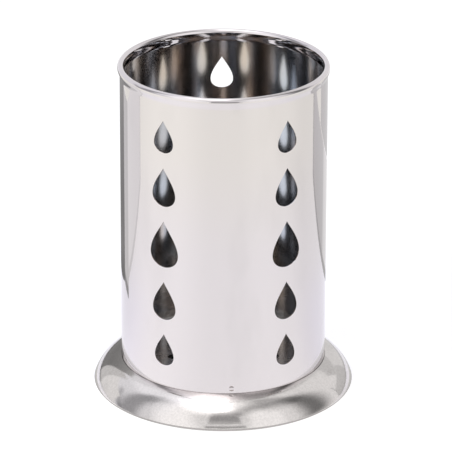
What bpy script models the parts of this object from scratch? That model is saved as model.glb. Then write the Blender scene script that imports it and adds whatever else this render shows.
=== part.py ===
"""Cutlery drainer in polished stainless steel.

A pierced tube with a rolled rim stands on a pressed base with a flared brim.
A shallow perforated pan inside the tube is its floor.
Metres, +Z up, the axis of the tube on Z, the base's hem on z = 0, the front towards -Y.
"""

import math

import bmesh
import bpy
from mathutils import Vector

MM = 0.001

# Sheets and fits
TUBE_SHEET = 0.5 * MM
BASE_SHEET = 0.6 * MM
PAN_SHEET = 0.5 * MM
FIT_GAP = 0.3 * MM

# Tube
TUBE_RADIUS = 55.0 * MM
TUBE_HEIGHT = 166.4 * MM

# Rolled rim of the tube: the wall flares out a little, rolls over inwards, and its flap slopes back to the wall
ROLL_HALF_WIDTH = 1.75 * MM
ROLL_HALF_HEIGHT = 2.05 * MM
ROLL_STAND_OUT = 1.2 * MM
FLARE_HEIGHT = 4.2 * MM
FLAP_HEIGHT = 5.2 * MM

# Drop-shaped openings, in columns round the tube and rows that grow towards the middle
COLUMN_COUNT = 5
ROW_FOOT_MARGIN = 12.3 * MM
ROW_RIM_MARGIN = 9.6 * MM
LARGE_DROP_HEIGHT = 25.8 * MM
MEDIUM_DROP_HEIGHT = 21.4 * MM
SMALL_DROP_HEIGHT = 17.8 * MM
DROP_WIDTH_SHARE = 0.68
DROP_TAPER = 1.35

# Spot welds that hold the pan's wall to the tube, and the tube's own seam
WELD_COUNT = 3
WELD_TURN_DEG = 3.5
WELD_HEIGHT = 3.2 * MM
WELD_RADIUS = 1.35 * MM
WELD_FLOOR_RADIUS = 0.9 * MM
WELD_DEPTH = 0.2 * MM
SEAM_TURN_DEG = 144.0
SEAM_WIDTH = 0.7 * MM
SEAM_DEPTH = 0.16 * MM

# Base: a flat seat under the tube, a low crest round it, and the brim that falls to the table
SEAT_HEIGHT = 16.0 * MM
SEAT_MARGIN = 0.3 * MM
WEB_WIDTH = 15.0 * MM
CREST_RISE = 1.0 * MM
CREST_WIDTH = 1.2 * MM
BRIM_WIDTH = 15.0 * MM
BRIM_TOP_FULLNESS = 1.6
BRIM_EDGE_FULLNESS = 1.15
EDGE_HEIGHT = 2.6 * MM
EDGE_TUCK = 5.0 * MM
HEM_WIDTH = 3.5 * MM

# Floor pan
PAN_WALL_HEIGHT = 5.0 * MM
PAN_BEND_RADIUS = 1.3 * MM
DRAIN_HOLE_RADIUS = 3.0 * MM
DRAIN_RING_PITCH = 14.0 * MM
DRAIN_RING_COUNTS = (6, 12)

# Fineness of the curved surfaces
ROUND_STEPS = 68
ROLL_STEPS = 8
FLARE_STEPS = 3
FLAP_STEPS = 3
CREST_STEPS = 4
BRIM_STEPS = 9
EDGE_STEPS = 4
BEND_STEPS = 3
DROP_STEPS = 20
HOLE_STEPS = 12
SMOOTH_ANGLE_DEG = 40.0
JOIN_DISTANCE = 0.001 * MM
CUT_OVERRUN = 4.0 * MM

# Heights and radii that follow from the sizes above
TUBE_FOOT = SEAT_HEIGHT + FIT_GAP
TUBE_INNER_RADIUS = TUBE_RADIUS - TUBE_SHEET
ROLL_CENTRE_RADIUS = TUBE_RADIUS + ROLL_STAND_OUT - ROLL_HALF_WIDTH
ROLL_CENTRE_HEIGHT = TUBE_FOOT + TUBE_HEIGHT - ROLL_HALF_HEIGHT
FLARE_FOOT = ROLL_CENTRE_HEIGHT - FLARE_HEIGHT
FLAP_FOOT = ROLL_CENTRE_HEIGHT - FLAP_HEIGHT
FLAP_FOOT_RADIUS = TUBE_INNER_RADIUS - FIT_GAP - TUBE_SHEET
PAN_RADIUS = TUBE_INNER_RADIUS - FIT_GAP
PAN_FOOT = SEAT_HEIGHT + FIT_GAP


def clear_scene():
    """Removes every object that the file opened with."""
    for item in list(bpy.data.objects):
        bpy.data.objects.remove(item, do_unlink=True)


def polished_steel(name, colour, roughness):
    """A Principled material for bare polished steel."""
    material = bpy.data.materials.new(name)
    material.use_nodes = True
    shader = material.node_tree.nodes["Principled BSDF"]
    shader.inputs["Base Color"].default_value = (*colour, 1.0)
    shader.inputs["Metallic"].default_value = 1.0
    shader.inputs["Roughness"].default_value = roughness
    return material


def arc(centre, across, up, start_deg, end_deg, steps):
    """Points along an arc of an ellipse in the (radius, height) plane, both ends included."""
    points = []
    for step in range(steps + 1):
        angle = math.radians(start_deg + (end_deg - start_deg) * step / steps)
        points.append(centre + Vector((across * math.cos(angle), up * math.sin(angle))))
    return points


def s_curve(start, end, steps, upright):
    """Points strictly between two ends of a wall that leaves and arrives upright, or level."""
    points = []
    for step in range(1, steps):
        along = step / steps
        blend = (1.0 - math.cos(math.pi * along)) / 2.0
        across, up = (blend, along) if upright else (along, blend)
        points.append(Vector((start.x + (end.x - start.x) * across, start.y + (end.y - start.y) * up)))
    return points


def sheet_section(face, thickness):
    """Closes one face of a bent sheet with its other face, which lies to the right of the way it runs.

    In a bend tighter than the sheet is thick, points of the other face that would run backwards are left out.
    """
    back = []
    for index, point in enumerate(face):
        arriving = (point - face[index - 1]).normalized() if index else None
        leaving = (face[index + 1] - point).normalized() if index + 1 < len(face) else None
        arriving = arriving or leaving
        leaving = leaving or arriving
        side_in = Vector((arriving.y, -arriving.x))
        side_out = Vector((leaving.y, -leaving.x))
        mitre = (side_in + side_out) / (1.0 + side_in.dot(side_out))
        corner = point + mitre * thickness
        if not back or (corner - back[-1]).dot(arriving) > 0.0:
            back.append(corner)
    return face + back[::-1]


def finish_mesh(shape, name):
    """Turns a bmesh into a mesh with its faces outwards and its round surfaces smooth."""
    bmesh.ops.recalc_face_normals(shape, faces=shape.faces)
    mesh = bpy.data.meshes.new(name)
    shape.to_mesh(mesh)
    shape.free()
    mesh.shade_smooth()
    mesh.set_sharp_from_angle(angle=math.radians(SMOOTH_ANGLE_DEG))
    return mesh


def turned_sheet(name, face, thickness, material):
    """A sheet-metal piece turned about Z from the line that one of its faces follows."""
    shape = bmesh.new()
    corners = [shape.verts.new((point.x, 0.0, point.y)) for point in sheet_section(face, thickness)]
    edges = [shape.edges.new((corners[index - 1], corner)) for index, corner in enumerate(corners)]
    bmesh.ops.spin(
        shape,
        geom=corners + edges,
        cent=(0.0, 0.0, 0.0),
        axis=(0.0, 0.0, 1.0),
        angle=math.tau,
        steps=ROUND_STEPS,
        use_merge=True,
    )
    bmesh.ops.remove_doubles(shape, verts=shape.verts, dist=JOIN_DISTANCE)
    piece = bpy.data.objects.new(name, finish_mesh(shape, name))
    piece.data.materials.append(material)
    bpy.context.scene.collection.objects.link(piece)
    return piece


def add_prism(shape, corners, way):
    """Adds a closed prism to a bmesh: a flat outline pushed along a vector."""
    outline = shape.faces.new([shape.verts.new(corner) for corner in corners])
    grown = bmesh.ops.extrude_face_region(shape, geom=[outline])["geom"]
    moved = [item for item in grown if isinstance(item, bmesh.types.BMVert)]
    bmesh.ops.translate(shape, verts=moved, vec=way)


def cut_with(piece, shape, name):
    """Cuts a set of separate closed shapes out of a piece."""
    tool = bpy.data.objects.new(name, finish_mesh(shape, name))
    tool.hide_render = True
    tool.display_type = "WIRE"
    bpy.context.scene.collection.objects.link(tool)
    cut = piece.modifiers.new(name, "BOOLEAN")
    cut.operation = "DIFFERENCE"
    cut.solver = "EXACT"
    cut.object = tool


def directions(turn_deg):
    """The outward and sideways directions at an angle from the front, counted towards +X."""
    turn = math.radians(turn_deg)
    outward = Vector((math.sin(turn), -math.cos(turn), 0.0))
    sideways = Vector((math.cos(turn), math.sin(turn), 0.0))
    return outward, sideways


def drop_outline(height):
    """A drop with a round belly and a narrow tip, about its own middle, as (across, up) pairs."""
    width = height * DROP_WIDTH_SHARE
    belly = (DROP_TAPER + 1.0) / (DROP_TAPER + 2.0)
    widest = 2.0 * math.sqrt(1.0 - belly) * belly ** ((DROP_TAPER + 1.0) / 2.0)
    points = []
    for step in range(DROP_STEPS):
        turn = math.tau * (step + 0.5) / DROP_STEPS
        across = math.sin(turn) * abs(math.sin(turn / 2.0)) ** DROP_TAPER / widest
        points.append((width / 2.0 * across, height / 2.0 * math.cos(turn)))
    return points


def drop_rows():
    """Middle height and drop height of each row from the lowest up, with equal gaps between the rows."""
    heights = (SMALL_DROP_HEIGHT, MEDIUM_DROP_HEIGHT, LARGE_DROP_HEIGHT, MEDIUM_DROP_HEIGHT, SMALL_DROP_HEIGHT)
    lowest = TUBE_FOOT + ROW_FOOT_MARGIN
    highest = FLARE_FOOT - ROW_RIM_MARGIN
    gap = (highest - lowest - sum(heights)) / (len(heights) - 1)
    rows = []
    foot = lowest
    for height in heights:
        rows.append((foot + height / 2.0, height))
        foot += height + gap
    return rows


def pierce_tube(tube):
    """Cuts the columns of drops, which stand half a column either side of the front."""
    shape = bmesh.new()
    column_turn = 360.0 / COLUMN_COUNT
    for column in range(COLUMN_COUNT):
        outward, sideways = directions(column_turn * (column + 0.5))
        for row_height, drop_height in drop_rows():
            middle = outward * (TUBE_RADIUS + CUT_OVERRUN) + Vector((0.0, 0.0, row_height))
            outline = drop_outline(drop_height)
            corners = [middle + sideways * across + Vector((0.0, 0.0, up)) for across, up in outline]
            add_prism(shape, corners, -outward * (CUT_OVERRUN + TUBE_SHEET + CUT_OVERRUN))
    cut_with(tube, shape, "drop_cutter")


def mark_welds(tube):
    """Presses the round marks of the spot welds into the foot of the tube."""
    shape = bmesh.new()
    slope = (WELD_RADIUS - WELD_FLOOR_RADIUS) / WELD_DEPTH
    mouth_radius = WELD_RADIUS + CUT_OVERRUN * slope
    for weld in range(WELD_COUNT):
        outward, _ = directions(WELD_TURN_DEG + 360.0 * weld / WELD_COUNT)
        length = WELD_DEPTH + CUT_OVERRUN
        middle = outward * (TUBE_RADIUS - WELD_DEPTH + length / 2.0)
        middle.z = TUBE_FOOT + WELD_HEIGHT
        place = outward.to_track_quat("Z", "Y").to_matrix().to_4x4()
        place.translation = middle
        bmesh.ops.create_cone(
            shape,
            cap_ends=True,
            segments=HOLE_STEPS,
            radius1=WELD_FLOOR_RADIUS,
            radius2=mouth_radius,
            depth=length,
            matrix=place,
        )
    cut_with(tube, shape, "weld_cutter")


def groove_seam(tube):
    """Cuts the shallow line of the ground-down butt weld that closes the tube at the back."""
    shape = bmesh.new()
    outward, sideways = directions(SEAM_TURN_DEG)
    foot = outward * (TUBE_RADIUS - SEAM_DEPTH)
    foot.z = TUBE_FOOT - CUT_OVERRUN
    side = sideways * SEAM_WIDTH / 2.0
    reach = outward * CUT_OVERRUN
    corners = [foot - side, foot + side, foot + side + reach, foot - side + reach]
    add_prism(shape, corners, Vector((0.0, 0.0, FLARE_FOOT - foot.z)))
    cut_with(tube, shape, "seam_cutter")


def make_drain_tube():
    """The rolled tube, along the face that shows: up the rim's flap, over the roll and down the wall."""
    centre = Vector((ROLL_CENTRE_RADIUS, ROLL_CENTRE_HEIGHT))
    flap_foot = Vector((FLAP_FOOT_RADIUS, FLAP_FOOT))
    flap_top = centre - Vector((ROLL_HALF_WIDTH, 0.0))
    flare_top = centre + Vector((ROLL_HALF_WIDTH, 0.0))
    flare_foot = Vector((TUBE_RADIUS, FLARE_FOOT))
    face = [flap_foot]
    face += s_curve(flap_foot, flap_top, FLAP_STEPS, upright=True)
    face += arc(centre, ROLL_HALF_WIDTH, ROLL_HALF_HEIGHT, 180.0, 0.0, ROLL_STEPS)
    face += s_curve(flare_top, flare_foot, FLARE_STEPS, upright=True)
    face += [flare_foot, Vector((TUBE_RADIUS, TUBE_FOOT))]
    material = polished_steel("tube_steel", (0.78, 0.77, 0.78), 0.12)
    tube = turned_sheet("drain_tube", face, TUBE_SHEET, material)
    pierce_tube(tube)
    mark_welds(tube)
    groove_seam(tube)


def brim_points():
    """The fall of the brim from its crest to its widest line, on a curve like a quarter of an ellipse."""
    crest = Vector((TUBE_RADIUS + SEAT_MARGIN + CREST_WIDTH, SEAT_HEIGHT + CREST_RISE))
    run = TUBE_RADIUS + BRIM_WIDTH - crest.x
    fall = crest.y - EDGE_HEIGHT
    points = []
    for step in range(BRIM_STEPS + 1):
        turn = math.pi / 2.0 * step / BRIM_STEPS
        across = math.sin(turn) ** (2.0 / BRIM_TOP_FULLNESS)
        left = max(math.cos(turn), 0.0) ** (2.0 / BRIM_EDGE_FULLNESS)
        points.append(Vector((crest.x + run * across, EDGE_HEIGHT + fall * left)))
    return points


def make_flared_base():
    """The pressed base: web, seat, crest, brim, rounded edge and the hem that it stands on."""
    brim = brim_points()
    edge_centre = Vector((brim[-1].x - EDGE_TUCK, EDGE_HEIGHT))
    seat_edge = Vector((TUBE_RADIUS + SEAT_MARGIN, SEAT_HEIGHT))
    face = [Vector((TUBE_RADIUS - WEB_WIDTH, SEAT_HEIGHT)), seat_edge]
    face += s_curve(seat_edge, brim[0], CREST_STEPS, upright=False)
    face += brim
    face += arc(edge_centre, EDGE_TUCK, EDGE_HEIGHT, 0.0, -90.0, EDGE_STEPS)[1:]
    face.append(Vector((edge_centre.x - HEM_WIDTH, 0.0)))
    material = polished_steel("base_steel", (0.74, 0.73, 0.73), 0.16)
    turned_sheet("flared_base", face, BASE_SHEET, material)


def pierce_pan(pan):
    """Cuts the rings of round drain holes; the middle one is left by the turning."""
    shape = bmesh.new()
    for ring, count in enumerate(DRAIN_RING_COUNTS, start=1):
        for hole in range(count):
            outward, _ = directions(360.0 * (hole + 0.5) / count)
            middle = outward * DRAIN_RING_PITCH * ring
            corners = []
            for step in range(HOLE_STEPS):
                way, _ = directions(360.0 * step / HOLE_STEPS)
                corners.append(middle + way * DRAIN_HOLE_RADIUS + Vector((0.0, 0.0, PAN_FOOT - CUT_OVERRUN)))
            add_prism(shape, corners, Vector((0.0, 0.0, CUT_OVERRUN + PAN_SHEET + CUT_OVERRUN)))
    cut_with(pan, shape, "drain_hole_cutter")


def make_floor_pan():
    """The floor: a shallow pan whose wall stands inside the foot of the tube."""
    bend_centre = Vector((PAN_RADIUS - PAN_BEND_RADIUS, PAN_FOOT + PAN_BEND_RADIUS))
    face = [Vector((PAN_RADIUS, PAN_FOOT + PAN_WALL_HEIGHT))]
    face += arc(bend_centre, PAN_BEND_RADIUS, PAN_BEND_RADIUS, 0.0, -90.0, BEND_STEPS)
    face.append(Vector((DRAIN_HOLE_RADIUS, PAN_FOOT)))
    material = polished_steel("pan_steel", (0.72, 0.71, 0.71), 0.2)
    pan = turned_sheet("floor_pan", face, PAN_SHEET, material)
    pierce_pan(pan)


clear_scene()
make_drain_tube()
make_flared_base()
make_floor_pan()
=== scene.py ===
"""Polished steel cutlery drainer: the finished surfaces, built round the measured frame."""

import math

import bpy
from bpy.props import FloatProperty, FloatVectorProperty, IntProperty, PointerProperty
from mathutils import Matrix, Vector


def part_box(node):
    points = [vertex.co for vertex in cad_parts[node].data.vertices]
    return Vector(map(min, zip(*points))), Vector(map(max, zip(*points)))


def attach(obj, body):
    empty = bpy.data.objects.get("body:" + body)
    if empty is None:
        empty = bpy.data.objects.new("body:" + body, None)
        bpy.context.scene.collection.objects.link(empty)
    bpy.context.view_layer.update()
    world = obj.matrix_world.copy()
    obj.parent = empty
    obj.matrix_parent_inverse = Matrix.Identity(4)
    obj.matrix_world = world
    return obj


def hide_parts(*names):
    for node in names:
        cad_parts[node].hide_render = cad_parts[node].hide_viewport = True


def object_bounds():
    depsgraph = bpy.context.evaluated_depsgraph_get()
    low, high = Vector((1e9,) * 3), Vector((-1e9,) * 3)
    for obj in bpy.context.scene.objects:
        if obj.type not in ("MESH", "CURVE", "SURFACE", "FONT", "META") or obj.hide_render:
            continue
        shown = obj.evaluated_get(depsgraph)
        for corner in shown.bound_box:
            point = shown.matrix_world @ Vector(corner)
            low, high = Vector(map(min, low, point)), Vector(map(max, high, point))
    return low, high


bl_info = {
    "name": "Cutlery Drainer",
    "version": (1, 0, 0),
    "blender": (4, 5, 0),
    "location": "View3D > Sidebar > Drainer",
    "description": "Models a pierced steel cutlery drainer with a rolled rim and a flared base",
    "category": "Add Mesh",
}

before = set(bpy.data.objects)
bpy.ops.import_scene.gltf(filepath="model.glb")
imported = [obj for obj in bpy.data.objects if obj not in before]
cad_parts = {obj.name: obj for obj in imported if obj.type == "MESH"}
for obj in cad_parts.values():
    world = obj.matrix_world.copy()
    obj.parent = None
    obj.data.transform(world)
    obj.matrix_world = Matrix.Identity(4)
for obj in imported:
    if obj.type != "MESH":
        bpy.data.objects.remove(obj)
CAD_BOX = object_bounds()

MM = 0.001
BODY = "root"
TUBE_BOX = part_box("drain_tube")
BASE_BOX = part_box("flared_base")
PAN_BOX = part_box("floor_pan")
ORIGIN = (0.0, 0.0, 0.0)

# Modelling values that follow no size of the drainer: a distance too small to see, how far a punch goes
# past the sheet, the ring of faces that keeps the flare's shading off the wall, and the angles up to which
# faces meet smoothly and count as the plain wall
HAIR = 0.001 * MM
PUNCH_OVERRUN = 4.0 * MM
SUPPORT_RING = 0.4 * MM
SMOOTH_ANGLE = math.radians(35.0)
WALL_TOLERANCE = math.radians(3.0)

# Points along the curves of the sections, and faces round the punches and the floor's shade
ROLL_STEPS = 36
FLARE_STEPS = 14
CREST_STEPS = 12
BRIM_STEPS = 48
EDGE_STEPS = 20
BEND_STEPS = 12
SEAM_FACES = 48
HOLE_FACES = 64
WELD_FACES = 96
WELD_RINGS = 64
SHADE_FACES = 128


# Sizes and colours that a user would change


class TubeSizes(bpy.types.PropertyGroup):
    """The pierced tube and its rolled rim."""

    radius: FloatProperty(
        name="Radius", description="Outside radius of the wall", default=0.055, unit="LENGTH"
    )
    foot: FloatProperty(
        name="Foot", description="Height of the lower edge", default=TUBE_BOX[0].z, unit="LENGTH"
    )
    top: FloatProperty(
        name="Top", description="Height of the rim's crown", default=TUBE_BOX[1].z, unit="LENGTH"
    )
    sheet: FloatProperty(
        name="Sheet", description="Thickness of the tube's sheet", default=0.0005, unit="LENGTH"
    )
    roll_width: FloatProperty(
        name="Roll width", description="Half the width of the rolled rim", default=0.00175, unit="LENGTH"
    )
    roll_height: FloatProperty(
        name="Roll height", description="Half the height of the rolled rim", default=0.00205, unit="LENGTH"
    )
    stand_out: FloatProperty(
        name="Stand-out", description="How far the rim stands outside the wall",
        default=0.0012, unit="LENGTH",
    )
    flare: FloatProperty(
        name="Flare", description="Height over which the wall flares out under the rim",
        default=0.0042, unit="LENGTH",
    )
    flap: FloatProperty(
        name="Flap", description="Height over which the rim slopes back to the wall",
        default=0.0052, unit="LENGTH",
    )
    gap: FloatProperty(
        name="Gap", description="Between the rim's edge and the wall", default=0.0003, unit="LENGTH"
    )
    steps: IntProperty(name="Steps", description="Faces round the tube", default=480, min=24)


class DropSizes(bpy.types.PropertyGroup):
    """The drop-shaped openings of the tube."""

    columns: IntProperty(name="Columns", description="Columns of openings round the tube", default=5, min=1)
    foot_margin: FloatProperty(
        name="Foot margin", description="From the tube's foot to the lowest drop",
        default=0.0123, unit="LENGTH",
    )
    rim_margin: FloatProperty(
        name="Rim margin", description="From the highest drop to the flare", default=0.0096, unit="LENGTH"
    )
    small: FloatProperty(name="Small", description="Height of a small drop", default=0.0178, unit="LENGTH")
    medium: FloatProperty(
        name="Medium", description="Height of a medium drop", default=0.0214, unit="LENGTH"
    )
    large: FloatProperty(
        name="Large", description="Height of the large drop", default=0.0258, unit="LENGTH"
    )
    width_share: FloatProperty(
        name="Width share", description="Width of a drop over its height", default=0.68
    )
    taper: FloatProperty(name="Taper", description="How much a drop narrows to its tip", default=1.35)
    steps: IntProperty(name="Steps", description="Points on a drop's outline", default=72, min=12)


class WeldSizes(bpy.types.PropertyGroup):
    """The marks of the spot welds and the seam of the rolled sheet."""

    count: IntProperty(name="Count", description="Spot welds round the foot", default=3, min=1)
    turn: FloatProperty(
        name="Turn", description="The first weld, from the front",
        default=math.radians(3.5), subtype="ANGLE",
    )
    height: FloatProperty(name="Height", description="From the tube's foot", default=0.0029, unit="LENGTH")
    radius: FloatProperty(name="Radius", description="Radius of a mark", default=0.00135, unit="LENGTH")
    depth: FloatProperty(name="Depth", description="Depth of a mark", default=0.0002, unit="LENGTH")
    seam_turn: FloatProperty(
        name="Seam turn", description="The seam, from the front",
        default=math.radians(144.0), subtype="ANGLE",
    )
    seam_width: FloatProperty(
        name="Seam width", description="Width of the seam", default=0.0007, unit="LENGTH"
    )
    seam_depth: FloatProperty(
        name="Seam depth", description="Depth of the seam", default=0.0001, unit="LENGTH"
    )


class BaseSizes(bpy.types.PropertyGroup):
    """The flared base."""

    seat: FloatProperty(
        name="Seat", description="Height of the seat under the tube", default=0.016, unit="LENGTH"
    )
    sheet: FloatProperty(
        name="Sheet", description="Thickness of the base's sheet", default=0.0006, unit="LENGTH"
    )
    seat_margin: FloatProperty(
        name="Seat margin", description="Flat seat that shows outside the tube",
        default=0.0001, unit="LENGTH",
    )
    web: FloatProperty(
        name="Web", description="Width of the web inside the tube's wall", default=0.015, unit="LENGTH"
    )
    crest_rise: FloatProperty(
        name="Crest rise", description="Rise of the crest above the seat", default=0.0004, unit="LENGTH"
    )
    crest_width: FloatProperty(
        name="Crest width", description="Width of the crest's rise", default=0.0001, unit="LENGTH"
    )
    crest_slope: FloatProperty(
        name="Crest slope", description="Fall of the brim where it leaves the crest",
        default=math.radians(15.5), subtype="ANGLE",
    )
    brim_pull: FloatProperty(
        name="Brim pull", description="How far the brim holds that slope", default=0.0121, unit="LENGTH"
    )
    edge: FloatProperty(name="Edge", description="Height of the widest line", default=0.0026, unit="LENGTH")
    tuck: FloatProperty(
        name="Tuck", description="How far the edge rounds in below", default=0.005, unit="LENGTH"
    )
    hem: FloatProperty(
        name="Hem", description="Width of the hem that it stands on", default=0.0035, unit="LENGTH"
    )
    steps: IntProperty(name="Steps", description="Faces round the base", default=480, min=24)


class PanSizes(bpy.types.PropertyGroup):
    """The perforated floor."""

    radius: FloatProperty(name="Radius", description="Outside radius", default=PAN_BOX[1].x, unit="LENGTH")
    foot: FloatProperty(
        name="Foot", description="Height of its underside", default=PAN_BOX[0].z, unit="LENGTH"
    )
    wall: FloatProperty(
        name="Wall", description="Height of its wall", default=PAN_BOX[1].z - PAN_BOX[0].z, unit="LENGTH"
    )
    sheet: FloatProperty(name="Sheet", description="Thickness of its sheet", default=0.0005, unit="LENGTH")
    bend: FloatProperty(name="Bend", description="Radius of the bend", default=0.0013, unit="LENGTH")
    hole: FloatProperty(name="Hole", description="Radius of a drain hole", default=0.003, unit="LENGTH")
    pitch: FloatProperty(
        name="Pitch", description="From ring to ring of holes", default=0.014, unit="LENGTH"
    )
    rings: IntProperty(name="Rings", description="Rings of holes round the middle one", default=2, min=1)
    steps: IntProperty(name="Steps", description="Faces round the pan", default=360, min=24)


class SteelColours(bpy.types.PropertyGroup):
    """Colours of the three sheets."""

    tube: FloatVectorProperty(
        name="Tube", description="Polished sheet",
        default=(0.672, 0.634, 0.648), subtype="COLOR", min=0.0, max=1.0,
    )
    base: FloatVectorProperty(
        name="Base", description="Turned pressing",
        default=(0.698, 0.664, 0.651), subtype="COLOR", min=0.0, max=1.0,
    )
    pan: FloatVectorProperty(
        name="Pan", description="Bright rolled sheet",
        default=(0.56, 0.55, 0.54), subtype="COLOR", min=0.0, max=1.0,
    )


class StageSizes(bpy.types.PropertyGroup):
    """The camera and the studio."""

    distance: FloatProperty(
        name="Distance", description="From the camera to its target", default=2.104, unit="LENGTH"
    )
    elevation: FloatProperty(
        name="Elevation", description="Height of the camera over the level",
        default=math.radians(22.14), subtype="ANGLE",
    )
    turn: FloatProperty(
        name="Turn", description="The camera's turn from the front",
        default=math.radians(-1.2), subtype="ANGLE",
    )
    roll: FloatProperty(
        name="Roll", description="Tilt of the camera", default=math.radians(0.15), subtype="ANGLE"
    )
    aside: FloatProperty(
        name="Aside", description="Target's place to the right", default=0.00136, unit="LENGTH"
    )
    target: FloatProperty(name="Target", description="Height of the target", default=0.0899, unit="LENGTH")
    focal_px: FloatProperty(name="Focal length", description="In pixels of the photograph", default=3928.0)
    image_px: FloatProperty(name="Image", description="Width of the photograph in pixels", default=452.0)


GROUPS = {
    "drainer_tube": TubeSizes,
    "drainer_drops": DropSizes,
    "drainer_welds": WeldSizes,
    "drainer_base": BaseSizes,
    "drainer_pan": PanSizes,
    "drainer_steel": SteelColours,
    "drainer_stage": StageSizes,
}


# Modelling helpers


def nothing_selected():
    """Leaves edit mode and clears the selection."""
    if bpy.context.object and bpy.context.object.mode != "OBJECT":
        bpy.ops.object.mode_set(mode="OBJECT")
    bpy.ops.object.select_all(action="DESELECT")


def pick(piece):
    """Makes a piece the only selected object and the active one."""
    nothing_selected()
    piece.select_set(True)
    bpy.context.view_layer.objects.active = piece


def arc(centre, across, up, start, end, steps):
    """Points along an arc of an ellipse in the (radius, height) plane, both ends included."""
    points = []
    for step in range(steps + 1):
        turn = start + (end - start) * step / steps
        points.append(Vector((centre.x + across * math.cos(turn), centre.y + up * math.sin(turn))))
    return points


def s_curve(start, end, steps, upright):
    """Points between two ends of a drawn wall that leaves and arrives without a kink."""
    points = []
    for step in range(1, steps):
        along = step / steps
        blend = (1.0 - math.cos(math.pi * along)) / 2.0
        across, up = (blend, along) if upright else (along, blend)
        points.append(Vector((start.x + (end.x - start.x) * across, start.y + (end.y - start.y) * up)))
    return points


def sheet_section(face, thickness):
    """The closed section of a sheet from the line of one face; the other lies to the right of its way."""
    back = []
    for index, point in enumerate(face):
        arriving = (point - face[index - 1]).normalized() if index else None
        leaving = (face[index + 1] - point).normalized() if index + 1 < len(face) else None
        arriving = arriving or leaving
        leaving = leaving or arriving
        side_in = Vector((arriving.y, -arriving.x))
        side_out = Vector((leaving.y, -leaving.x))
        corner = point + (side_in + side_out) / (1.0 + side_in.dot(side_out)) * thickness
        if not back or (corner - back[-1]).dot(arriving) > 0.0:
            back.append(corner)
    return face + back[::-1]


def turn_sheet(name, face, thickness, steps):
    """Models a turned sheet: a circle that is pulled, ring by ring, round the whole section."""
    section = sheet_section(face, thickness)
    nothing_selected()
    start = (0.0, 0.0, section[0].y)
    bpy.ops.mesh.primitive_circle_add(vertices=steps, radius=section[0].x, location=start)
    piece = bpy.context.object
    piece.name = piece.data.name = name
    bpy.ops.object.transform_apply(location=True, rotation=True, scale=True)
    bpy.ops.object.mode_set(mode="EDIT")
    bpy.ops.mesh.select_all(action="SELECT")
    here = section[0]
    for there in section[1:] + section[:1]:
        bpy.ops.mesh.extrude_edges_move(TRANSFORM_OT_translate={"value": (0.0, 0.0, there.y - here.y)})
        grow = there.x / here.x
        bpy.ops.transform.resize(value=(grow, grow, 1.0), center_override=ORIGIN)
        here = there
    bpy.ops.mesh.select_all(action="SELECT")
    bpy.ops.mesh.remove_doubles(threshold=HAIR)
    bpy.ops.mesh.normals_make_consistent(inside=False)
    bpy.ops.object.mode_set(mode="OBJECT")
    bpy.ops.object.shade_smooth_by_angle(angle=SMOOTH_ANGLE)
    return piece


def own_copy(piece):
    """A copy of a piece with a mesh of its own."""
    twin = piece.copy()
    twin.data = piece.data.copy()
    bpy.context.scene.collection.objects.link(twin)
    return twin


def join_all(pieces):
    """Joins pieces into the first of them and settles its place in its mesh."""
    nothing_selected()
    for piece in pieces:
        piece.select_set(True)
    bpy.context.view_layer.objects.active = pieces[0]
    if len(pieces) > 1:
        bpy.ops.object.join()
    bpy.ops.object.transform_apply(location=True, rotation=True, scale=True)
    return pieces[0]


def cut_away(piece, tool):
    """Cuts a tool's shape out of a piece and throws the tool away."""
    pick(piece)
    bpy.ops.object.modifier_add(type="BOOLEAN")
    cut = piece.modifiers[-1]
    cut.operation = "DIFFERENCE"
    cut.solver = "EXACT"
    cut.object = tool
    bpy.ops.object.modifier_apply(modifier=cut.name)
    bpy.data.objects.remove(tool, do_unlink=True)


def settle(piece, material, node):
    """Gives a finished piece its material and its place in the frame."""
    piece.data.materials.clear()
    piece.data.materials.append(material)
    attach(piece, BODY)
    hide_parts(node)


# The tube


def drop_outline(sizes, height):
    """A drop with a round belly and a narrow tip, about its own middle, as (across, up) pairs."""
    belly = (sizes.taper + 1.0) / (sizes.taper + 2.0)
    widest = 2.0 * math.sqrt(1.0 - belly) * belly ** ((sizes.taper + 1.0) / 2.0)
    points = []
    for step in range(sizes.steps):
        turn = math.tau * (step + 0.5) / sizes.steps
        across = math.sin(turn) * abs(math.sin(turn / 2.0)) ** sizes.taper / widest
        points.append((height * sizes.width_share / 2.0 * across, height / 2.0 * math.cos(turn)))
    return points


def drop_punch(sizes, height, reach, overrun):
    """The punch for one drop, on the side of -Y, from outside the wall to inside it."""
    nothing_selected()
    bpy.ops.mesh.primitive_circle_add(vertices=sizes.steps, radius=height / 2.0, fill_type="NGON")
    punch = bpy.context.object
    for vertex, (across, up) in zip(punch.data.vertices, drop_outline(sizes, height)):
        vertex.co = (across, -reach - overrun, up)
    bpy.ops.object.mode_set(mode="EDIT")
    bpy.ops.mesh.select_all(action="SELECT")
    bpy.ops.mesh.extrude_region_move(TRANSFORM_OT_translate={"value": (0.0, 2.0 * overrun, 0.0)})
    bpy.ops.mesh.select_all(action="SELECT")
    bpy.ops.mesh.normals_make_consistent(inside=False)
    bpy.ops.object.mode_set(mode="OBJECT")
    return punch


def place_drops(drops, tube, lowest, highest):
    """All the punches of the tube: columns half a column either side of the front, rows with equal gaps."""
    heights = (drops.small, drops.medium, drops.large, drops.medium, drops.small)
    gap = (highest - lowest - sum(heights)) / (len(heights) - 1)
    punches = []
    foot = lowest
    for height in heights:
        model = drop_punch(drops, height, tube.radius, PUNCH_OVERRUN)
        for column in range(drops.columns):
            punch = own_copy(model)
            punch.location.z = foot + height / 2.0
            punch.rotation_euler.z = math.tau * (column + 0.5) / drops.columns
            punches.append(punch)
        bpy.data.objects.remove(model, do_unlink=True)
        foot += height + gap
    return join_all(punches)


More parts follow.
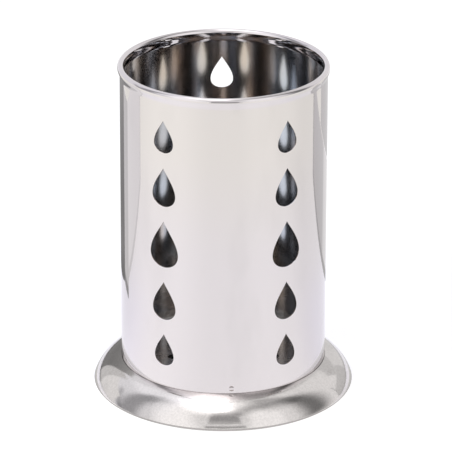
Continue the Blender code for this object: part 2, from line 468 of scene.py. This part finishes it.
def weld_punch(welds, tube):
    """Round-nosed punches for the marks of the spot welds."""
    ball = (welds.radius ** 2 + welds.depth ** 2) / (2.0 * welds.depth)
    reach = tube.radius + ball - welds.depth
    punches = []
    for weld in range(welds.count):
        turn = welds.turn + math.tau * weld / welds.count
        place = (reach * math.sin(turn), -reach * math.cos(turn), tube.foot + welds.height)
        nothing_selected()
        bpy.ops.mesh.primitive_uv_sphere_add(
            segments=WELD_FACES, ring_count=WELD_RINGS, radius=ball, location=place
        )
        punches.append(bpy.context.object)
    return join_all(punches)


def seam_punch(welds, tube, top):
    """A long bar that leaves the shallow line of the seam in the wall."""
    height = top - tube.foot + PUNCH_OVERRUN
    reach = tube.radius - welds.seam_depth + welds.seam_width / 2.0
    across = reach * math.sin(welds.seam_turn)
    along = -reach * math.cos(welds.seam_turn)
    nothing_selected()
    bpy.ops.mesh.primitive_cylinder_add(
        vertices=SEAM_FACES,
        radius=welds.seam_width / 2.0,
        depth=height,
        location=(across, along, top - height / 2.0),
    )
    return join_all([bpy.context.object])


def straighten_wall(piece, foot, top):
    """Gives the plain wall the normals of a true cylinder, which the cuts would otherwise disturb."""
    mesh = piece.data
    normals = [corner.vector.copy() for corner in mesh.corner_normals]
    for face in mesh.polygons:
        middle = Vector((face.center.x, face.center.y, 0.0)).normalized()
        side = face.normal.dot(middle)
        if abs(side) < math.cos(WALL_TOLERANCE):
            continue
        for corner in face.loop_indices:
            place = mesh.vertices[mesh.loops[corner].vertex_index].co
            if foot - MM < place.z < top + 10.0 * HAIR:
                normals[corner] = Vector((place.x, place.y, 0.0)).normalized() * math.copysign(1.0, side)
    mesh.normals_split_custom_set(normals)


class DRAINER_OT_tube(bpy.types.Operator):
    """Models the pierced tube with its rolled rim"""

    bl_idname = "drainer.tube"
    bl_label = "Pierced tube"

    def execute(self, context):
        tube = context.scene.drainer_tube
        inside = tube.radius - tube.sheet
        centre = Vector((tube.radius + tube.stand_out - tube.roll_width, tube.top - tube.roll_height))
        flap_foot = Vector((inside - tube.gap - tube.sheet, centre.y - tube.flap))
        flap_top = Vector((centre.x - tube.roll_width, centre.y))
        flare_top = Vector((centre.x + tube.roll_width, centre.y))
        flare_foot = Vector((tube.radius, centre.y - tube.flare))
        wall_top = Vector((tube.radius, flare_foot.y - SUPPORT_RING))
        face = [flap_foot]
        face += s_curve(flap_foot, flap_top, FLARE_STEPS, upright=True)
        face += arc(centre, tube.roll_width, tube.roll_height, math.pi, 0.0, ROLL_STEPS)
        face += s_curve(flare_top, flare_foot, FLARE_STEPS, upright=True)
        face += [flare_foot, wall_top, Vector((tube.radius, tube.foot))]
        piece = turn_sheet("pierced_tube", face, tube.sheet, tube.steps)
        drops = context.scene.drainer_drops
        welds = context.scene.drainer_welds
        highest = flare_foot.y - drops.rim_margin
        cut_away(piece, place_drops(drops, tube, tube.foot + drops.foot_margin, highest))
        cut_away(piece, weld_punch(welds, tube))
        cut_away(piece, seam_punch(welds, tube, wall_top.y))
        pick(piece)
        bpy.ops.object.shade_smooth_by_angle(angle=SMOOTH_ANGLE)
        straighten_wall(piece, tube.foot, wall_top.y)
        steel = context.scene.drainer_steel
        settle(piece, tube_steel(steel.tube, tube, welds), "drain_tube")
        return {"FINISHED"}


# The base


class DRAINER_OT_base(bpy.types.Operator):
    """Models the flared base with its seat, crest, brim and hem"""

    bl_idname = "drainer.base"
    bl_label = "Flared base"

    def execute(self, context):
        base = context.scene.drainer_base
        tube = context.scene.drainer_tube
        seat_edge = Vector((tube.radius + base.seat_margin, base.seat))
        crest = Vector((seat_edge.x + base.crest_width, base.seat + base.crest_rise))
        widest = Vector((BASE_BOX[1].x - HAIR, base.edge))
        face = [Vector((tube.radius - base.web, base.seat)), seat_edge]
        face += s_curve(seat_edge, crest, CREST_STEPS, upright=False)
        fall = Vector((math.cos(base.crest_slope), -math.sin(base.crest_slope)))
        shoulder = crest + base.brim_pull * fall
        for step in range(BRIM_STEPS + 1):
            share = step / BRIM_STEPS
            left = 1.0 - share
            near = left ** 3 * crest + 3.0 * left ** 2 * share * shoulder
            face.append(near + (3.0 * left * share ** 2 + share ** 3) * widest)
        edge_centre = Vector((widest.x - base.tuck, base.edge))
        face += arc(edge_centre, base.tuck, base.edge, 0.0, -math.pi / 2.0, EDGE_STEPS)[1:]
        face.append(Vector((edge_centre.x - base.hem, 0.0)))
        piece = turn_sheet("turned_base", face, base.sheet, base.steps)
        steel = context.scene.drainer_steel
        settle(piece, base_steel(steel.base), "flared_base")
        return {"FINISHED"}


# The floor pan


def hole_punches(pan):
    """Round punches for the rings of drain holes, each ring with six more than the one inside it."""
    punches = []
    for ring in range(1, pan.rings + 1):
        count = 6 * ring
        for hole in range(count):
            turn = math.tau * (hole + 0.5) / count
            place = (pan.pitch * ring * math.sin(turn), -pan.pitch * ring * math.cos(turn), pan.foot)
            nothing_selected()
            bpy.ops.mesh.primitive_cylinder_add(
                vertices=HOLE_FACES, radius=pan.hole, depth=2.0 * PUNCH_OVERRUN, location=place
            )
            punches.append(bpy.context.object)
    return join_all(punches)


class DRAINER_OT_pan(bpy.types.Operator):
    """Models the perforated floor pan"""

    bl_idname = "drainer.pan"
    bl_label = "Floor pan"

    def execute(self, context):
        pan = context.scene.drainer_pan
        bend_centre = Vector((pan.radius - pan.bend, pan.foot + pan.bend))
        face = [Vector((pan.radius, pan.foot + pan.wall))]
        face += arc(bend_centre, pan.bend, pan.bend, 0.0, -math.pi / 2.0, BEND_STEPS)
        face.append(Vector((pan.hole, pan.foot)))
        piece = turn_sheet("perforated_floor", face, pan.sheet, pan.steps)
        cut_away(piece, hole_punches(pan))
        pick(piece)
        bpy.ops.object.shade_smooth_by_angle(angle=SMOOTH_ANGLE)
        bpy.ops.object.modifier_add(type="WEIGHTED_NORMAL")
        piece.modifiers[-1].keep_sharp = True
        bpy.ops.object.modifier_apply(modifier=piece.modifiers[-1].name)
        steel = context.scene.drainer_steel
        settle(piece, pan_steel(steel.pan), "floor_pan")
        return {"FINISHED"}


# Materials

DEGREES = 180.0 / math.pi

# Painted reflection tints that the inner face drifts between, the painted shade at the spot welds' edges,
# and the colour of stained steel
INNER_REFLECTION_TINTS = ((0.50, 0.53, 0.59), (0.61, 0.53, 0.47))
WELD_SHADE = (0.20, 0.16, 0.14)
STAINED = (0.47, 0.42, 0.37)

# How much of its light the sheet keeps under a smear, and the pressing under smears and grit
SMEARED = 0.82
GRITTY = 0.74

# How fast the rings of the pressing change along their way round
RING_DRIFT = 0.01

# Heights of the bumps that bend what the steel mirrors
WAVE_DEPTH = 30.0e-6
STREAK_DEPTH = 1.0e-6
RIPPLE_DEPTH = 22.0e-6
RING_DEPTH = 8.0e-6
GRAIN_DEPTH = 2.0e-6


class Signal:
    """One output of a shader node, on which sums are written as Python."""

    def __init__(self, tree, socket):
        self.tree = tree
        self.socket = socket

    def node(self, kind, settings=None, inputs=None, output=0):
        """Adds any node of this tree from its type, its settings and the values or links of its sockets."""
        added = self.tree.nodes.new(kind)
        for name, value in (settings or {}).items():
            if name == "stops":
                stops = added.color_ramp.elements
                for _ in value[2:]:
                    stops.new(1.0)
                for stop, (place, colour) in zip(stops, value):
                    stop.position = place
                    stop.color = (*colour, 1.0)
            else:
                setattr(added, name, value)
        for name, value in (inputs or {}).items():
            if isinstance(value, Signal):
                self.tree.links.new(value.socket, added.inputs[name])
            else:
                added.inputs[name].default_value = value
        return Signal(self.tree, added.outputs[output])

    def math(self, operation, *values):
        """A Math node on plain values and signals."""
        return self.node("ShaderNodeMath", {"operation": operation}, dict(enumerate(values)))

    def __add__(self, other):
        return self.math("ADD", self, other)

    def __radd__(self, other):
        return self.math("ADD", other, self)

    def __sub__(self, other):
        return self.math("SUBTRACT", self, other)

    def __rsub__(self, other):
        return self.math("SUBTRACT", other, self)

    def __mul__(self, other):
        return self.math("MULTIPLY", self, other)

    def __rmul__(self, other):
        return self.math("MULTIPLY", other, self)

    def __truediv__(self, other):
        return self.math("DIVIDE", self, other)

    def ramp(self, low, high):
        """0 below low, 1 above high, smooth between them."""
        limits = {"Value": self, "From Min": low, "From Max": high}
        return self.node("ShaderNodeMapRange", {"interpolation_type": "SMOOTHSTEP"}, limits)

    def noise(self, scale, detail=2.0, roughness=0.5):
        """Noise on this vector, about 0 to 1."""
        settings = {"Vector": self, "Scale": scale, "Detail": detail, "Roughness": roughness}
        return self.node("ShaderNodeTexNoise", {}, settings)

    def blend(self, amount, first, second):
        """A colour between two, which are signals or plain colours, as the amount goes from 0 to 1."""
        mixer = self.node("ShaderNodeMix", {"data_type": "RGBA"}).socket.node
        sockets = (mixer.inputs[0], mixer.inputs[6], mixer.inputs[7])
        for socket, value in zip(sockets, (amount, first, second)):
            if isinstance(value, Signal):
                self.tree.links.new(value.socket, socket)
            else:
                socket.default_value = (*value, 1.0)
        return Signal(self.tree, mixer.outputs[2])

    def stretched(self, x, y, z):
        """This vector, with each axis scaled."""
        inputs = {0: self, 1: (x, y, z)}
        return self.node("ShaderNodeVectorMath", {"operation": "MULTIPLY"}, inputs)

    def distance(self, place):
        """How far this place is from a fixed one."""
        inputs = {0: self, 1: place}
        return self.node("ShaderNodeVectorMath", {"operation": "DISTANCE"}, inputs, "Value")

    def bump(self, depth, under=None):
        """The normal that this height gives, on top of another normal if there is one."""
        inputs = {"Strength": 1.0, "Distance": depth, "Height": self}
        if under is not None:
            inputs["Normal"] = under
        return self.node("ShaderNodeBump", {}, inputs)

    def parts(self):
        """The three numbers of this vector."""
        first = self.node("ShaderNodeSeparateXYZ", {}, {"Vector": self})
        outputs = first.socket.node.outputs
        return [Signal(self.tree, outputs[axis]) for axis in range(3)]


def blank_material(name, colour):
    """A plain material, with its shader node and the object coordinates that its patterns read."""
    material = bpy.data.materials.new(name)
    material.use_nodes = True
    tree = material.node_tree
    shader = tree.nodes["Principled BSDF"]
    shader.inputs["Base Color"].default_value = (*colour, 1.0)
    place = Signal(tree, tree.nodes.new("ShaderNodeTexCoord").outputs["Object"])
    return material, shader, place


def blank_steel(name, colour):
    """A bare metal material, whose roughness its patterns give."""
    material, shader, place = blank_material(name, colour)
    shader.inputs["Metallic"].default_value = 1.0
    return material, shader, place


def feed(shader, name, signal):
    """Links a signal to a socket of the shader."""
    signal.tree.links.new(signal.socket, shader.inputs[name])


def shade(colour, share):
    """A colour of the same tint with a share of the light."""
    return [share * part for part in colour]


def from_axis(x, y):
    """The distance of a place from the drainer's axis."""
    return x.math("SQRT", x * x + y * y)


def turn_of(x, y):
    """The turn of a place or a way from the front, in degrees."""
    return x.math("ARCTAN2", x, 0.0 - y) * DEGREES


def window(turn, at, half, soft):
    """1 within a half width of a turn, both in degrees, and 0 outside it."""
    away = turn.math("ABSOLUTE", turn.math("WRAP", turn - at, 180.0, -180.0))
    return 1.0 - away.ramp(half - soft, half + soft)


def weld_shade(place, welds, tube):
    """1 on the painted shade above and below each spot weld's dimple, and 0 elsewhere."""
    size = welds.radius
    level = tube.foot + welds.height
    upright = place.math("ABSOLUTE", place.parts()[2] - level).ramp(0.35 * size, 0.7 * size)
    tint = 0.0
    for weld in range(welds.count):
        turn = welds.turn + math.tau * weld / welds.count
        away = place.distance((tube.radius * math.sin(turn), -tube.radius * math.cos(turn), level))
        ring = away.ramp(0.4 * size, 0.8 * size) * (1.0 - away.ramp(0.9 * size, 1.3 * size))
        tint = ring * upright + tint
    return tint


def inner_face(place, tube):
    """1 on the wall's inner face and its cut edges, below the rolled rim, and 0 outside."""
    x, y, z = place.parts()
    within = 1.0 - from_axis(x, y).ramp(tube.radius - 0.8 * tube.sheet, tube.radius - 0.3 * tube.sheet)
    rim_foot = tube.top - tube.roll_height - tube.flap
    return within * (1.0 - z.ramp(rim_foot, rim_foot + 0.5 * tube.sheet))


def tube_steel(colour, tube, welds):
    """Mirror-polished sheet with faint upright streaks, a few soft smears, painted shade at the spot welds,
    and a duller inner face painted in bluish and brownish reflection tints.
    """
    material, shader, place = blank_steel("polished_sheet", colour)
    inner = inner_face(place, tube)
    tint = place.stretched(1.0, 1.0, 0.4).noise(38.0, 2.0).ramp(0.38, 0.62)
    streaks = place.stretched(1.0, 1.0, 0.02).noise(2200.0, 3.0)
    smears = place.stretched(1.0, 1.0, 0.35).noise(45.0, 3.0).ramp(0.52, 0.75)
    waves = place.stretched(1.0, 1.0, 0.5).noise(28.0, 1.0)
    outside = place.blend(0.25 * smears, colour, shade(colour, SMEARED))
    # painted shade: dark arcs above and below each spot weld's dimple
    outside = place.blend(0.75 * weld_shade(place, welds, tube), outside, WELD_SHADE)
    # painted reflection: the inner face drifts between a bluish and a brownish tint that stand in for what
    # it mirrors
    inside = place.blend(tint, *INNER_REFLECTION_TINTS)
    feed(shader, "Base Color", place.blend(inner, outside, inside))
    feed(shader, "Roughness", 0.045 + 0.03 * streaks + 0.05 * smears + 0.05 * inner)
    feed(shader, "Normal", streaks.bump(STREAK_DEPTH, waves.bump(WAVE_DEPTH)))
    return material


def base_steel(colour):
    """Polished pressing with the fine rings and the grit that turning and polishing left."""
    material, shader, place = blank_steel("turned_pressing", colour)
    x, y, z = place.parts()
    along = place.math("ARCTAN2", x, 0.0 - y) * RING_DRIFT
    rings_at = place.node("ShaderNodeCombineXYZ", {}, {"X": from_axis(x, y), "Y": z, "Z": along})
    rings = rings_at.noise(2600.0, 3.0)
    ripples = rings_at.stretched(1.0, 1.0, 1.5).noise(650.0, 2.0)
    smears = place.noise(60.0, 4.0, 0.6).ramp(0.5, 0.75)
    grit = place.noise(900.0, 2.0).ramp(0.32, 0.68)
    feed(shader, "Base Color", place.blend(0.45 * smears + 0.3 * grit, colour, shade(colour, GRITTY)))
    feed(shader, "Roughness", 0.06 + 0.06 * rings + 0.06 * smears)
    feed(shader, "Normal", rings.bump(RING_DEPTH, ripples.bump(RIPPLE_DEPTH)))
    return material


def pan_steel(colour):
    """Bright rolled sheet, duller than the rest and a little stained."""
    material, shader, place = blank_steel("rolled_sheet", colour)
    grain = place.stretched(1.0, 0.03, 1.0).noise(3000.0, 2.0)
    stains = place.noise(50.0, 4.0).ramp(0.45, 0.75)
    feed(shader, "Base Color", place.blend(stains, colour, STAINED))
    feed(shader, "Roughness", 0.14 + 0.1 * grain + 0.12 * stains)
    feed(shader, "Normal", grain.bump(GRAIN_DEPTH))
    return material


# The stage

FLOOR_SIZE = 8.0
FLOOR_DROP = 0.05 * MM
FLOOR_COLOUR = (0.8, 0.8, 0.8)
FLOOR_ROUGHNESS = 0.8

# The floor's own painted light, and the distances from the axis over which it grows from none under the
# base, a painted shadow
FLOOR_LIGHT = 0.79
SHADOW_UNDER_BASE = (0.052, 0.062)

# Painted brighter and darker sides of the floor's light: turn, half width and softness in degrees, change
# of the light
FLOOR_SIDES = (
    (-62.0, 30.0, 22.0, 0.11),
    (40.0, 16.0, 12.0, 0.04),
    (115.0, 34.0, 14.0, -0.09),
    (-136.0, 24.0, 16.0, -0.09),
)

# The painted tint of the floor's light: warm far out but for the back, and cool close behind the drainer,
# by distance and turn
FLOOR_TINT = 0.09
WARM_REACH = (0.24, 0.47)
WARM_TURN = (130.0, 150.0)
COOL_REACH = (0.14, 0.26)
COOL_TURN = (65.0, 110.0)

# The floor's light by the distance from the axis, as the base's edge mirrors it
FLOOR_SHADE = ((0.0, 0.0), (0.058, 0.0), (0.068, 0.7), (0.076, 0.64), (0.082, 0.72), (0.087, 0.95))

# Upright cards: name, the two ends of the foot on the floor, and the light by the height
CARDS = (
    (
        "camera_flag", (-0.06, -0.26), (0.062, -0.26),
        ((0.105, 0.7), (0.125, 0.6), (0.146, 0.49), (0.17, 0.42), (0.235, 0.42)),
    ),
    (
        "camera_shade", (-0.1, -0.36), (0.11, -0.36),
        ((0.078, 0.5), (0.115, 0.5), (0.13, 0.8)),
    ),
    (
        "dark_board", (-0.04, 0.185), (-0.134, 0.114),
        ((0.0, 0.2), (0.02, 0.27), (0.05, 0.24), (0.09, 0.29), (0.12, 0.36), (0.15, 0.5)),
    ),
    (
        "grey_board", (-0.134, 0.114), (-0.143, 0.073),
        ((0.0, 0.35), (0.006, 0.35), (0.008, 0.72), (0.12, 0.72)),
    ),
    (
        "right_board", (0.332, 0.122), (0.15, 0.131),
        ((0.0, 0.5), (0.006, 0.5), (0.008, 0.66), (0.075, 0.72)),
    ),
    (
        "right_inner", (0.15, 0.131), (0.06, 0.135),
        ((0.0, 0.5), (0.006, 0.5), (0.008, 0.84), (0.075, 0.88)),
    ),
    ("right_fill", (0.2, 0.13), (0.06, 0.136), ((0.076, 0.7), (0.13, 0.72))),
    ("right_edge", (0.344, 0.121), (0.332, 0.122), ((0.0, 0.5), (0.13, 0.5))),
    (
        "left_board", (-0.343, 0.065), (-0.15, 0.095),
        ((0.0, 0.8), (0.006, 0.8), (0.008, 0.97), (0.11, 0.97)),
    ),
    ("left_edge", (-0.353, 0.063), (-0.343, 0.065), ((0.0, 0.8), (0.11, 0.8))),
)

# Panels and gaps of the tent, in degrees: turn, half width, lower and upper edge, softness, then how far
# the turn leans with the height above one level, how far the height slopes with the turn, and the change
# of the light
LEAN_LEVEL = 30.0
STUDIO = (
    (-48.3, 19.5, -10.0, 72.3, 12.0, -0.35, 0.0, 0.35),
    (41.1, 16.8, -10.0, 59.8, 7.2, 0.15, 0.0, 0.24),
    (-95.2, 11.5, 0.0, 56.8, 7.5, -0.16, 0.0, -0.54),
    (91.4, 14.2, 0.0, 57.4, 12.0, 0.12, 0.0, -0.75),
    (-118.0, 4.1, 0.0, 29.9, 3.5, -0.59, 0.0, -0.35),
    (3.5, 18.0, 45.2, 61.2, 4.35, 0.0, 0.27, -0.54),
    (78.0, 28.6, 48.5, 64.2, 7.9, 0.0, 0.11, -0.26),
    (70.1, 46.8, 58.8, 75.6, 7.4, 0.0, 0.13, -0.39),
    (139.0, 22.5, 55.4, 76.0, 5.8, 0.0, -0.98, -0.41),
    (93.9, 11.0, 62.4, 68.7, 5.2, 0.0, -0.13, 0.12),
    (-126.0, 17.3, 43.3, 60.3, 4.7, 0.0, 0.10, 0.19),
)

# The softbox overhead, as it would lie on a ceiling one metre up, its brighter core, and the rise, as a
# sine, over which it fades in above the horizon
SOFTBOX_PLACE = (-0.145, -0.198)
SOFTBOX_HALF = (0.31, 0.497)
SOFTBOX_TURN = math.radians(1.4)
SOFTBOX_SOFTNESS = 0.477
SOFTBOX_LIGHT = 0.6
SOFTBOX_CORE = 0.8
SOFTBOX_CORE_EDGE = (0.55, 0.85)
SOFTBOX_RISE = (0.1, 0.3)

# The rest of the tent: its light to the steel and to the camera, the share of it that matt things get, and
# its cooler side with the turn, half width and softness in degrees
TENT_LIGHT = 0.977
CAMERA_LIGHT = 1.05
MATT_SHARE = 0.35
COOL_WHITE = (0.975, 0.985, 1.03)
COOL_SIDE = (-120.0, 50.0, 30.0)


def glowing_material(name, colour):
    """A matt material that gives light of its own."""
    material, shader, place = blank_material(name, colour)
    shader.inputs["Specular IOR Level"].default_value = 0.0
    shader.inputs["Emission Strength"].default_value = 1.0
    return material, shader, place


def add_floor():
    """A wide pale floor just under the drainer that glows with painted light: brighter and darker sides, a
    warm and a cool tint, and a painted shadow under the base.
    """
    nothing_selected()
    bpy.ops.mesh.primitive_plane_add(size=FLOOR_SIZE, location=(0.0, 0.0, CAD_BOX[0].z - FLOOR_DROP))
    floor = bpy.context.object
    floor.name = "floor"
    bpy.ops.object.transform_apply(location=True)
    material, shader, place = glowing_material("pale_floor", FLOOR_COLOUR)
    shader.inputs["Roughness"].default_value = FLOOR_ROUGHNESS
    x, y, z = place.parts()
    turn = turn_of(x, y)
    reach = from_axis(x, y)
    light = FLOOR_LIGHT
    for at, half, soft, change in FLOOR_SIDES:
        light = change * window(turn, at, half, soft) + light
    # painted shadow: the floor gives no light under the base
    light = light * reach.ramp(*SHADOW_UNDER_BASE)
    beside = turn.math("ABSOLUTE", turn)
    warm = reach.ramp(*WARM_REACH) * (1.0 - beside.ramp(*WARM_TURN))
    cool = (1.0 - reach.ramp(*COOL_REACH)) * beside.ramp(*COOL_TURN)
    blue = light * (1.0 - FLOOR_TINT * warm + FLOOR_TINT * cool)
    glow = place.node("ShaderNodeCombineColor", {}, {"Red": light, "Green": light, "Blue": blue})
    feed(shader, "Emission Color", glow)
    floor.data.materials.append(material)


def light_card(card, name, levels, upright):
    """Makes a sheet a card that only shows in the steel, lit by the height or, lying flat, by the reach."""
    card.name = name
    material, shader, place = glowing_material(name, (0.0, 0.0, 0.0))
    x, y, z = place.parts()
    measure = z if upright else from_axis(x, y)
    start, end = levels[0][0], levels[-1][0]
    stops = [((at - start) / (end - start), (grey, grey, grey)) for at, grey in levels]
    share = (measure - start) * (1.0 / (end - start))
    feed(shader, "Emission Color", place.node("ShaderNodeValToRGB", {"stops": stops}, {"Fac": share}))
    card.data.materials.append(material)
    card.visible_camera = False
    card.visible_diffuse = False
    card.visible_shadow = False


def add_floor_shade():
    """A round card flat on the floor: the floor's shade round the base."""
    nothing_selected()
    bpy.ops.mesh.primitive_circle_add(vertices=SHADE_FACES, radius=FLOOR_SHADE[-1][0], fill_type="NGON")
    light_card(bpy.context.object, "floor_shade", FLOOR_SHADE, upright=False)


def add_card(name, start, end, levels):
    """An upright card above two places of the floor."""
    nothing_selected()
    bpy.ops.mesh.primitive_plane_add(size=1.0)
    card = bpy.context.object
    foot, head = levels[0][0], levels[-1][0]
    corners = ((start, foot), (end, foot), (start, head), (end, head))
    for vertex, ((across, along), up) in zip(card.data.vertices, corners):
        vertex.co = (across, along, up)
    light_card(card, name, levels, upright=True)


def softbox(x, y, z):
    """The softbox's light along a way: an oblong with round corners on the ceiling and a brighter core."""
    across = x / z - SOFTBOX_PLACE[0]
    along = y / z - SOFTBOX_PLACE[1]
    cosine, sine = math.cos(SOFTBOX_TURN), math.sin(SOFTBOX_TURN)
    wide = (across * cosine + along * sine) * (1.0 / SOFTBOX_HALF[0])
    deep = (along * cosine - across * sine) * (1.0 / SOFTBOX_HALF[1])
    out = x.math("POWER", x.math("POWER", wide, 4.0) + x.math("POWER", deep, 4.0), 0.25)
    edge = 1.0 - out.ramp(1.0 - SOFTBOX_SOFTNESS, 1.0 + SOFTBOX_SOFTNESS)
    core = 1.0 - out.ramp(*SOFTBOX_CORE_EDGE)
    return (SOFTBOX_LIGHT * edge + SOFTBOX_CORE * core) * z.ramp(*SOFTBOX_RISE)


def light_world():
    """A white tent: white to the camera, and to the steel a pale room with its panels and gaps."""
    world = bpy.data.worlds.new("white_tent")
    bpy.context.scene.world = world
    world.use_nodes = True
    tree = world.node_tree
    tree.nodes.clear()
    way = Signal(tree, tree.nodes.new("ShaderNodeTexCoord").outputs["Generated"])
    x, y, z = way.parts()
    turn = turn_of(x, y)
    lift = way.math("ARCSINE", z) * DEGREES
    level = softbox(x, y, z) + TENT_LIGHT
    for at, half, low, high, soft, lean, slope, change in STUDIO:
        away = way.math("WRAP", turn - at - (lift - LEAN_LEVEL) * lean, 180.0, -180.0)
        rise = lift - away * slope
        above = rise.ramp(low - soft, low + soft)
        below = 1.0 - rise.ramp(high - soft, high + soft)
        beside = 1.0 - way.math("ABSOLUTE", away).ramp(half - soft, half + soft)
        level = level + beside * above * below * change
    rays = tree.nodes.new("ShaderNodeLightPath")
    seen = Signal(tree, rays.outputs["Is Camera Ray"])
    spread = Signal(tree, rays.outputs["Is Diffuse Ray"])
    strength = level * (1.0 - seen) * (1.0 - (1.0 - MATT_SHARE) * spread) + CAMERA_LIGHT * seen
    colour = way.blend(window(turn, *COOL_SIDE), (1.0, 1.0, 1.0), COOL_WHITE)
    light = way.node("ShaderNodeBackground", {}, {"Color": colour, "Strength": strength})
    out = tree.nodes.new("ShaderNodeOutputWorld")
    tree.links.new(light.socket, out.inputs["Surface"])


def add_camera(stage):
    """The camera at the photograph's place, height and angle of view."""
    nothing_selected()
    bpy.ops.object.camera_add()
    camera = bpy.context.object
    lean = Matrix.Rotation(stage.turn, 4, "Z") @ Matrix.Rotation(math.pi / 2.0 - stage.elevation, 4, "X")
    target = Matrix.Rotation(stage.turn, 4, "Z") @ Vector((stage.aside, 0.0, stage.target))
    camera.matrix_world = Matrix.Translation(target) @ lean @ Matrix.Rotation(stage.roll, 4, "Z")
    camera.matrix_world = camera.matrix_world @ Matrix.Translation((0.0, 0.0, stage.distance))
    camera.data.sensor_width = 36.0
    camera.data.lens = camera.data.sensor_width * stage.focal_px / stage.image_px
    camera.data.clip_end = 100.0
    bpy.context.scene.camera = camera


class DRAINER_OT_stage(bpy.types.Operator):
    """Sets up the floor, the white tent, its cards and the camera"""

    bl_idname = "drainer.stage"
    bl_label = "Stage"

    def execute(self, context):
        context.scene.view_settings.view_transform = "Standard"
        add_floor()
        light_world()
        add_floor_shade()
        for name, start, end, levels in CARDS:
            add_card(name, start, end, levels)
        add_camera(context.scene.drainer_stage)
        return {"FINISHED"}


class DRAINER_PT_panel(bpy.types.Panel):
    """Lists the drainer's pieces and their sizes"""

    bl_label = "Cutlery Drainer"
    bl_idname = "DRAINER_PT_panel"
    bl_space_type = "VIEW_3D"
    bl_region_type = "UI"
    bl_category = "Drainer"

    def draw(self, context):
        for step in STEPS:
            self.layout.operator(step.bl_idname)
        for name, group in GROUPS.items():
            box = self.layout.box()
            box.label(text=group.__doc__)
            for key in group.__annotations__:
                box.prop(getattr(context.scene, name), key)


STEPS = (DRAINER_OT_tube, DRAINER_OT_base, DRAINER_OT_pan, DRAINER_OT_stage)


def register():
    for group in GROUPS.values():
        bpy.utils.register_class(group)
    for name, group in GROUPS.items():
        setattr(bpy.types.Scene, name, PointerProperty(type=group))
    for step in STEPS:
        bpy.utils.register_class(step)
    bpy.utils.register_class(DRAINER_PT_panel)


def unregister():
    bpy.utils.unregister_class(DRAINER_PT_panel)
    for step in reversed(STEPS):
        bpy.utils.unregister_class(step)
    for name in reversed(GROUPS):
        delattr(bpy.types.Scene, name)
    for group in reversed(GROUPS.values()):
        bpy.utils.unregister_class(group)


def main():
    """Builds the drainer and its stage."""
    register()
    bpy.ops.drainer.tube()
    bpy.ops.drainer.base()
    bpy.ops.drainer.pan()
    bpy.ops.drainer.stage()


if __name__ == "__main__":
    main()
